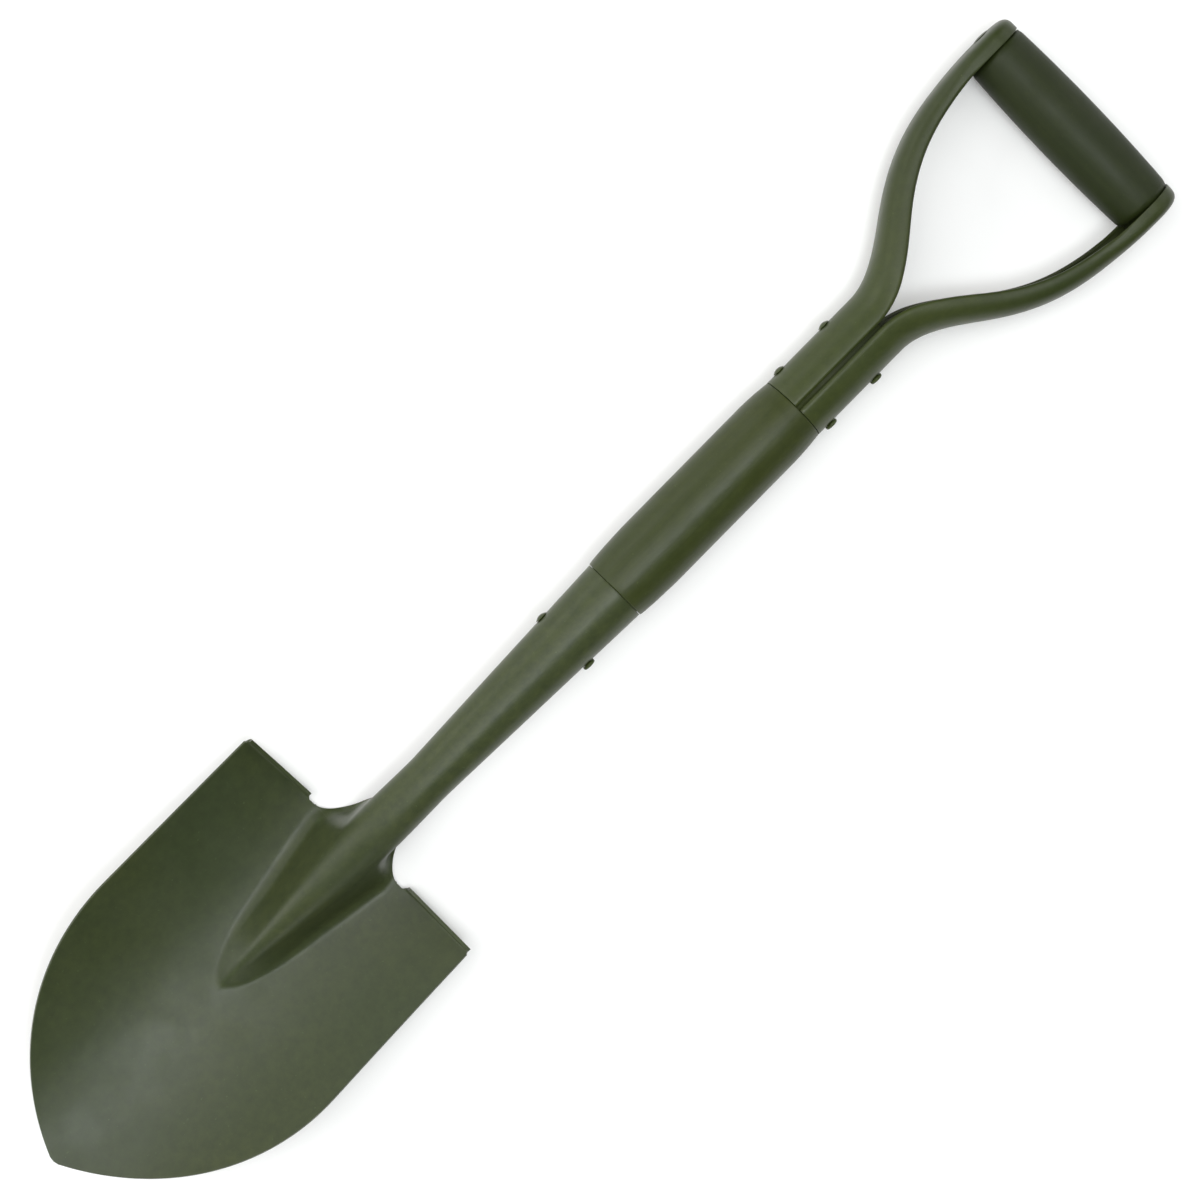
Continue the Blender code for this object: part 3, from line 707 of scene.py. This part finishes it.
def paint(name, olive, warm, rough_range, grain=None):
    """Satin paint, olive with warmer clouds in it, painted light on the neck and painted shade where the
    mesh marks them.

    grain stretches fine lines along the wood under the paint, as a scale per axis.
    """
    material = bpy.data.materials.new(name)
    material.use_nodes = True
    tree = material.node_tree
    shader = tree.nodes["Principled BSDF"]
    where = node(tree, "ShaderNodeTexCoord").outputs["Object"]

    clouds = remap(tree, noise(tree, where, CLOUDS, 3.0), 0.35, 0.65, 0.0, 1.0)
    colour = blend_color(tree, clouds, shade(olive, 1.0), shade(warm, 1.0))
    # Painted light: the neck and socket are painted a lighter, warmer olive.
    neck_light = attribute(tree, "neck_painted_light")
    colour = blend_color(tree, neck_light, colour, shade(warm, NECK_LIGHT_TONE))
    mottle = remap(tree, noise(tree, where, MOTTLE, 6.0, 0.7), 0.35, 0.70, 0.0, 0.80)
    colour = blend_color(tree, mottle, colour, shade(olive, MOTTLE_TONE))
    specks = remap(tree, noise(tree, where, SPECKS, 2.0), 0.70, 0.76, 0.0, 0.5)
    colour = blend_color(tree, specks, colour, shade(olive, SPECK_TONE))
    chips = remap(tree, noise(tree, where, CHIPS, 4.0, 0.65), 0.42, 0.62, 0.0, 1.0)
    worn = math_node(tree, "MULTIPLY", attribute(tree, "cut_edge"), chips)
    colour = blend_color(tree, worn, colour, shade(olive, WEAR_TONE))
    # Painted shade: a darker, rougher olive where the mesh marks it, under the straps and along the arms.
    painted_shade = attribute(tree, "painted_shade")
    colour = blend_color(tree, painted_shade, colour, shade(olive, PAINTED_SHADE_TONE))

    normal = bump(tree, noise(tree, where, PEEL, 2.0), PEEL_HEIGHT, 0.35)
    normal = bump(tree, noise(tree, where, WAVES, 2.0), WAVE_HEIGHT, 0.40, normal)
    if grain:
        lines = noise(tree, stretched(tree, where, grain), 1.0, 6.0, 0.62)
        normal = bump(tree, lines, GRAIN_HEIGHT, 0.40, normal)
        streaks = remap(tree, lines, 0.35, 0.65, 0.0, 0.45)
        colour = blend_color(tree, streaks, colour, shade(olive, GRAIN_TONE))
    dull = noise(tree, where, DULL_PATCHES, 4.0, 0.6)
    roughness = math_node(tree, "MAXIMUM", remap(tree, dull, 0.3, 0.7, *rough_range), painted_shade)

    shader.inputs["Specular IOR Level"].default_value = SPECULAR
    link(tree, colour, shader.inputs["Base Color"])
    link(tree, roughness, shader.inputs["Roughness"])
    link(tree, normal, shader.inputs["Normal"])
    return material


# ---------------------------------------------------------------- pieces

# Number of steps in each stretch of the fine meshes.
BLADE_MESH = {"strip": 36, "wing": 26, "rows": 96, "corner": 2, "notch": 16, "upper": 60, "bend": 8}
ARM_MESH = {"strap": 16, "lower": 26, "upper": 40, "fan": 20, "columns": 22, "lip": 6}
WOOD_SIDES = 96
RIVET_SIDES = 48
GRIP_STRETCHES = 40

# Roundings of cut edges, and the distance within which points merge.
BLADE_EDGE = 0.0005
ARM_EDGE = 0.00045
SHAFT_END_ROUNDING = 0.0018
SHAFT_STEP_ROUNDING = 0.0004
MERGE = 0.00002

# The grip is held a hair inside the solids' box, because the solid's own barrel has flat facets.
SLIM = 0.00004
# Its ends are eased by this much, over the last share of its length.
GRIP_EASE = 0.0005
GRIP_EASE_START = 0.97

# Reach of the neck over which the painted light, a lighter and warmer olive, comes in.
NECK_LIGHT_REACH = 0.03
# How much painted shade darkens the arms, as a share of the full painted shade, and where along them.
ARM_SHADE = 0.26
ARM_SHADE_START = 0.185
ARM_SHADE_REACH = 0.06
# Faces that meet at a sharper angle than this get worn edges.
WORN_ANGLE = math.radians(20)
BEVEL_ANGLE = math.radians(50)


def add_piece(name, bm, material):
    mesh = bpy.data.meshes.new(name)
    bm.to_mesh(mesh)
    bm.free()
    obj = bpy.data.objects.new(name, mesh)
    obj.matrix_world = REST
    bpy.context.scene.collection.objects.link(obj)
    mesh.materials.append(material)
    return obj


def sheet_piece(obj, axis, thickness, rounding):
    """Mirrors the half sheet, gives it its thickness and rounds its cut edges."""
    halves = obj.modifiers.new("Mirror", "MIRROR")
    halves.use_axis = [i == axis for i in range(3)]
    halves.merge_threshold = MERGE
    sheet = obj.modifiers.new("Sheet", "SOLIDIFY")
    sheet.thickness = thickness
    sheet.offset = -1.0
    sheet.use_even_offset = True
    edge = obj.modifiers.new("Edge", "BEVEL")
    edge.width = rounding
    edge.segments = 3
    edge.limit_method = "ANGLE"
    edge.angle_limit = BEVEL_ANGLE
    edge.harden_normals = False


def drill(obj, x, radius):
    """Cuts a hole across the shaft at x."""
    bm = bmesh.new()
    bmesh.ops.create_cone(
        bm, cap_ends=True, segments=RIVET_SIDES, radius1=radius, radius2=radius, depth=2.4 * D_HALF
    )
    mesh = bpy.data.meshes.new("hole")
    bm.to_mesh(mesh)
    bm.free()
    cutter = bpy.data.objects.new("hole", mesh)
    cutter.matrix_world = REST @ across(x)
    cutter.hide_render = True
    bpy.context.scene.collection.objects.link(cutter)
    hole = obj.modifiers.new("Hole", "BOOLEAN")
    hole.operation = "DIFFERENCE"
    hole.object = cutter
    return cutter


def mark(mesh, name, value_at):
    """Gives each vertex a value under that name, which the paint reads."""
    values = mesh.attributes.new(name, "FLOAT", "POINT")
    for vertex in mesh.vertices:
        values.data[vertex.index].value = value_at(vertex)


def settle(obj, cutters=()):
    """Applies the modifiers and the placing, keeps the piece in the solids' box and marks its edges."""
    bpy.context.view_layer.update()
    graph = bpy.context.evaluated_depsgraph_get()
    mesh = bpy.data.meshes.new_from_object(obj.evaluated_get(graph))
    obj.modifiers.clear()
    mesh.transform(obj.matrix_world)
    obj.matrix_world = Matrix.Identity(4)
    obj.data = mesh
    mesh.name = obj.name
    for vertex in mesh.vertices:
        for i in range(3):
            vertex.co[i] = min(max(vertex.co[i], cad_low[i]), cad_high[i])
    for cutter in cutters:
        bpy.data.objects.remove(cutter, do_unlink=True)
    mesh.shade_smooth()
    bm = bmesh.new()
    bm.from_mesh(mesh)
    bm.normal_update()
    sharp = set()
    for edge in bm.edges:
        if len(edge.link_faces) == 2 and edge.calc_face_angle() > WORN_ANGLE:
            sharp.update(vertex.index for vertex in edge.verts)
    bm.free()
    mark(mesh, "cut_edge", lambda vertex: float(vertex.index in sharp))


def turned_piece(name, profile, steps, turn, material, closed=False):
    """Piece turned about its own Z from a profile (radius, height) that runs down its outer side."""
    bm = bmesh.new()
    vertices = [bm.verts.new((radius, 0.0, height)) for radius, height in profile]
    for a, b in zip(vertices, vertices[1:]):
        bm.edges.new((a, b))
    if closed:
        bm.edges.new((vertices[-1], vertices[0]))
    obj = add_piece(name, bm, material)
    obj.matrix_world = REST @ turn
    screw = obj.modifiers.new("Turn", "SCREW")
    screw.axis = "Z"
    screw.steps = steps
    screw.render_steps = steps
    screw.use_merge_vertices = True
    screw.merge_threshold = MERGE
    return obj


def smooth_line(points, count):
    """The points (radius, height) with a smooth curve of count steps through each stretch."""
    stops = sorted((height, radius) for radius, height in points)
    heights = []
    for (low, _), (high, _) in zip(stops, stops[1:]):
        heights += [low + (high - low) * i / count for i in range(count)]
    heights.append(stops[-1][0])
    return [(track(height, stops), height) for height in reversed(heights)]


def rounded(corner, before, after, radius, count):
    """Points of a small arc in place of a square corner of a profile."""
    c = Vector(corner)
    a = c + (Vector(before) - c).normalized() * radius
    b = c + (Vector(after) - c).normalized() * radius
    points = []
    for i in range(count + 1):
        t = i / count
        points.append(tuple((1 - t) ** 2 * a + 2 * t * (1 - t) * c + t * t * b))
    return points


def mirrored_below(points):
    """The same points of a profile below its middle, in the order in which it runs on."""
    return [(radius, -height) for radius, height in reversed(points)]


def place(obj, node_name, slot):
    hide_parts(node_name)
    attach(obj, "root")


def make_blade(material):
    blade = add_piece("blade_sheet", build_blade(**BLADE_MESH), material)
    sheet_piece(blade, 1, SHEET, BLADE_EDGE)
    settle(blade, [drill(blade, SOCKET_RIVET_X, SHANK_RADIUS + GAP)])
    # Painted light, marked on the neck and socket.
    neck_light_from = REST_SHIFT.x + BEND_X
    mark(blade.data, "neck_painted_light", lambda vertex: ease((vertex.co.x - neck_light_from) / NECK_LIGHT_REACH))
    place(blade, "blade", "painted_steel")


def make_arm(side, node_name, material):
    """side is 1 for the left arm and -1 for the right one."""
    arm = add_piece(node_name + "_sheet", build_arm(side, **ARM_MESH), material)
    sheet_piece(arm, 2, STRAP_SHEET, ARM_EDGE)
    holes = [drill(arm, x, SHANK_RADIUS + GAP) for x in (LOWER_STRAP_RIVET_X, UPPER_STRAP_RIVET_X)]
    holes.append(drill(arm, GRIP_X, ROD_RADIUS + GAP))
    settle(arm, holes)
    # Painted shade: the arms darken from the crotch up toward the grip.
    arm_shade_from = REST_SHIFT.x + ARM_SHADE_START

    def arm_shade_at(vertex):
        return ARM_SHADE * ease((vertex.co.x - arm_shade_from) / ARM_SHADE_REACH)

    mark(arm.data, "painted_shade", arm_shade_at)
    place(arm, node_name, "painted_steel")


def shaft_profile():
    """(radius, place along the shaft) from its upper end down to the end inside the socket."""
    low = GAP
    high = STRAP_X - GAP
    seat = STRAP_SEAT_RADIUS
    inner = RIM_RADIUS - SHEET - GAP
    swell = [(radius, high - inset) for inset, radius in STRAP_SHOULDER]
    swell += [(radius, low + inset) for inset, radius in reversed(SOCKET_SHOULDER)]
    line = smooth_line(swell, 5)
    top = (0.0, SHAFT_TOP_X)
    profile = [top]
    profile += rounded((seat, SHAFT_TOP_X), top, (seat, high), SHAFT_END_ROUNDING, 6)
    profile += [(seat, high), (swell[0][0] - 0.0005, high)]
    profile += rounded(line[0], (seat, high), line[1], SHAFT_STEP_ROUNDING, 3)[1:]
    profile += line[1:-1]
    profile += rounded(line[-1], line[-2], (inner, low), SHAFT_STEP_ROUNDING, 3)
    profile += [(inner, low), (socket_radius(-SHAFT_IN_SOCKET) - SHEET - GAP, -SHAFT_IN_SOCKET)]
    profile.append((0.0, -SHAFT_IN_SOCKET))
    return profile


def make_shaft(material):
    lengthwise = Matrix.Rotation(0.5 * math.pi, 4, "Y")
    shaft = turned_piece("shaft_wood", shaft_profile(), WOOD_SIDES, lengthwise, material)
    rivet_places = (SOCKET_RIVET_X, LOWER_STRAP_RIVET_X, UPPER_STRAP_RIVET_X)
    settle(shaft, [drill(shaft, x, SHANK_RADIUS + GAP) for x in rivet_places])
    to_shaft = REST.inverted()

    # Painted shade: the wood under the straps, seen in the seam between them, is painted dark and rough.
    def under_straps(vertex):
        x, y, z = to_shaft @ vertex.co
        seated = x > STRAP_X - GAP + 0.0001
        return float(seated and math.hypot(y, z) < STRAP_SEAT_RADIUS + 0.0003)

    mark(shaft.data, "painted_shade", under_straps)
    place(shaft, "shaft", "painted_wood")


def barrel_radius(y):
    """Radius of the grip, thickest in the middle and eased at its two ends."""
    out = abs(y) / GRIP_HALF
    full = 1.0 - (y / GRIP_HALF) ** 2
    eased = max(0.0, (out - GRIP_EASE_START) / (1.0 - GRIP_EASE_START)) ** 2
    return GRIP_END_RADIUS + (GRIP_RADIUS - GRIP_END_RADIUS) * full - SLIM - GRIP_EASE * eased


def make_grip(material):
    half_count = GRIP_STRETCHES // 2
    places = [GRIP_HALF * (1.0 - i / half_count) for i in range(GRIP_STRETCHES + 1)]
    barrel = [(barrel_radius(y), y) for y in places]
    end = [(ROD_RADIUS + GAP, TENON_HALF), (TENON_RADIUS - END_CHAMFER, TENON_HALF)]
    end += [(TENON_RADIUS, TENON_HALF - END_CHAMFER), (TENON_RADIUS, GRIP_HALF)]
    profile = end + barrel + mirrored_below(end)
    grip = turned_piece("grip_barrel", profile, WOOD_SIDES, across(GRIP_X), material, closed=True)
    settle(grip)
    place(grip, "grip", "painted_wood")


def make_rivet(node_name, profile, x, material):
    rivet = turned_piece(node_name + "_heads", profile, RIVET_SIDES, across(x), material)
    settle(rivet)
    place(rivet, node_name, "painted_rivets")


def shaft_rivet_profile(seat):
    """Low dome on the left, shank, and pan head on the right. seat is where the heads sit."""
    profile = dome(HEAD_RADIUS, seat, DOME_HEIGHT, 12)
    profile += [(SHANK_RADIUS, seat), (SHANK_RADIUS, -seat)]
    profile += [(HEAD_RADIUS, -seat), (HEAD_RADIUS, -seat - PAN_WALL)]
    return profile + mirrored_below(dome(PAN_TOP_RADIUS, seat + PAN_HEIGHT - PAN_CROWN, PAN_CROWN, 6))


def grip_rivet_profile(seat):
    head = dome(ROD_HEAD_RADIUS, seat, ROD_HEAD_HEIGHT, 10)
    return head + [(ROD_RADIUS, seat), (ROD_RADIUS, -seat)] + mirrored_below(head)


steel_paint = paint("steel_paint", BLADE_OLIVE, BLADE_WARM, STEEL_ROUGHNESS)
strap_paint = paint("strap_paint", STRAP_OLIVE, STRAP_WARM, STEEL_ROUGHNESS)
rivet_paint = paint("rivet_paint", STRAP_OLIVE, STRAP_WARM, RIVET_ROUGHNESS)
shaft_paint = paint("shaft_paint", WOOD_OLIVE, WOOD_WARM, SHAFT_ROUGHNESS, SHAFT_GRAIN)
grip_paint = paint("grip_paint", GRIP_OLIVE, GRIP_WARM, GRIP_ROUGHNESS, GRIP_GRAIN)

make_blade(steel_paint)
make_arm(1, "left_arm", strap_paint)
make_arm(-1, "right_arm", strap_paint)
make_shaft(shaft_paint)
make_grip(grip_paint)
shaft_rivets = (
    ("socket_rivet", SOCKET_RIVET_X, socket_radius(SOCKET_RIVET_X)),
    ("lower_strap_rivet", LOWER_STRAP_RIVET_X, STRAP_RADIUS),
    ("upper_strap_rivet", UPPER_STRAP_RIVET_X, STRAP_RADIUS),
)
for rivet_name, rivet_x, outside in shaft_rivets:
    make_rivet(rivet_name, shaft_rivet_profile(outside + GAP), rivet_x, rivet_paint)
make_rivet("grip_rivet", grip_rivet_profile(D_HALF + GAP), GRIP_X, rivet_paint)

# ---------------------------------------------------------------- floor, light, camera

# The floor lies just under the shovel.
FLOOR_DROP = 0.0004
FLOOR_HALF = 12.0
FLOOR_COLOR = (0.86, 0.86, 0.85, 1.0)
WHITE = (1.0, 1.0, 1.0, 1.0)
# The floor glows a little, and more away from the shovel, where the lights fall off, so it stays pale.
GLOW_NEAR = 0.13
GLOW_FAR = 0.95
GLOW_FROM = 0.55
GLOW_TO = 3.2

LIGHT_DISTANCE = 2.5
LIGHT_SIZE = 1.4
# (degrees from +X toward +Y, degrees above the floor, power in watts): brightest from the left.
SOFT_LIGHTS = (
    (0.0, 90.0, 24.5),
    (0.0, 60.0, 8.0),
    (60.0, 60.0, 4.0),
    (120.0, 60.0, 16.0),
    (0.0, 23.0, 12.0),
    (90.0, 23.0, 17.0),
    (135.0, 23.0, 25.0),
    (180.0, 23.0, 8.0),
    (225.0, 23.0, 11.0),
    (315.0, 23.0, 6.0),
)
# A smaller, slightly cool one, which the scoop of the blade and the round of the shaft reflect.
BLADE_LIGHT_WAY = (0.03, -0.17, 1.0)
BLADE_LIGHT_SIZE = 0.55
BLADE_LIGHT_POWER = 13.0
BLADE_LIGHT_COLOR = (0.90, 0.97, 1.0)

# Strength of the surroundings, as they light the shovel and as the camera sees them.
SURROUNDINGS_LIGHT = 0.01
SURROUNDINGS_SEEN = 0.97

VIEW_DISTANCE = 1.300
VIEW_LEAN = math.radians(6.2)
IMAGE_TURN = math.radians(45.41)
FIELD_OF_VIEW = math.radians(24.98)
VIEW_TARGET = Vector((-0.0083, 0.0015, 0.0))
SENSOR_WIDTH = 36.0


def make_floor():
    mesh = bpy.data.meshes.new("floor")
    bm = bmesh.new()
    bmesh.ops.create_grid(bm, x_segments=1, y_segments=1, size=FLOOR_HALF)
    bm.to_mesh(mesh)
    bm.free()
    floor = bpy.data.objects.new("floor", mesh)
    floor.location = (0.0, 0.0, -FLOOR_DROP)
    bpy.context.scene.collection.objects.link(floor)
    material = bpy.data.materials.new("floor_paint")
    material.use_nodes = True
    tree = material.node_tree
    shader = tree.nodes["Principled BSDF"]
    shader.inputs["Base Color"].default_value = FLOOR_COLOR
    shader.inputs["Roughness"].default_value = 0.85
    shader.inputs["Specular IOR Level"].default_value = 0.1
    shader.inputs["Emission Color"].default_value = WHITE
    distance = node(tree, "ShaderNodeVectorMath", operation="LENGTH")
    link(tree, node(tree, "ShaderNodeTexCoord").outputs["Object"], distance.inputs[0])
    reach = (GLOW_FROM, GLOW_TO, GLOW_NEAR, GLOW_FAR)
    glow = remap(tree, distance.outputs["Value"], *reach, curve="SMOOTHSTEP")
    link(tree, glow, shader.inputs["Emission Strength"])
    mesh.materials.append(material)


def softbox(name, direction, size, power):
    """Large soft light that shines on the shovel's middle from that direction (x, y, z)."""
    light = bpy.data.lights.new(name, "AREA")
    light.shape = "RECTANGLE"
    light.size = size
    light.size_y = size
    light.energy = power
    obj = bpy.data.objects.new(name, light)
    away = Vector(direction).normalized()
    obj.location = away * LIGHT_DISTANCE
    obj.rotation_mode = "QUATERNION"
    obj.rotation_quaternion = away.to_track_quat("Z", "Y")
    bpy.context.scene.collection.objects.link(obj)
    return light


def make_lights():
    for number, (azimuth, elevation, power) in enumerate(SOFT_LIGHTS):
        azimuth = math.radians(azimuth)
        elevation = math.radians(elevation)
        flat = math.cos(elevation)
        direction = (flat * math.cos(azimuth), flat * math.sin(azimuth), math.sin(elevation))
        softbox("soft_light_%d" % number, direction, LIGHT_SIZE, power)
    spot = softbox("blade_light", BLADE_LIGHT_WAY, BLADE_LIGHT_SIZE, BLADE_LIGHT_POWER)
    spot.color = BLADE_LIGHT_COLOR


def make_surroundings():
    """Pale background for the camera, which gives almost no light to the shovel."""
    world = bpy.data.worlds.new("surroundings")
    bpy.context.scene.world = world
    world.use_nodes = True
    tree = world.node_tree
    background = tree.nodes["Background"]
    background.inputs["Color"].default_value = WHITE
    seen = node(tree, "ShaderNodeLightPath").outputs["Is Camera Ray"]
    strength = remap(tree, seen, 0.0, 1.0, SURROUNDINGS_LIGHT, SURROUNDINGS_SEEN)
    link(tree, strength, background.inputs["Strength"])


def make_camera():
    """Camera over the face, leaning a little to the left, with the shovel across the image."""
    away = Vector((0.0, math.sin(VIEW_LEAN), math.cos(VIEW_LEAN)))
    aside = Vector((0.0, math.cos(VIEW_LEAN), -math.sin(VIEW_LEAN)))
    along = Vector((1.0, 0.0, 0.0))
    right = along * math.cos(IMAGE_TURN) - aside * math.sin(IMAGE_TURN)
    up = along * math.sin(IMAGE_TURN) + aside * math.cos(IMAGE_TURN)
    lens = bpy.data.cameras.new("camera")
    lens.sensor_width = SENSOR_WIDTH
    lens.lens = 0.5 * SENSOR_WIDTH / math.tan(0.5 * FIELD_OF_VIEW)
    camera = bpy.data.objects.new("camera", lens)
    turn = Matrix((right, up, away)).transposed().to_4x4()
    camera.matrix_world = REST @ Matrix.Translation(VIEW_TARGET + away * VIEW_DISTANCE) @ turn
    bpy.context.scene.collection.objects.link(camera)
    bpy.context.scene.camera = camera


make_floor()
make_lights()
make_surroundings()
make_camera()
bpy.context.scene.view_settings.view_transform = "Standard"
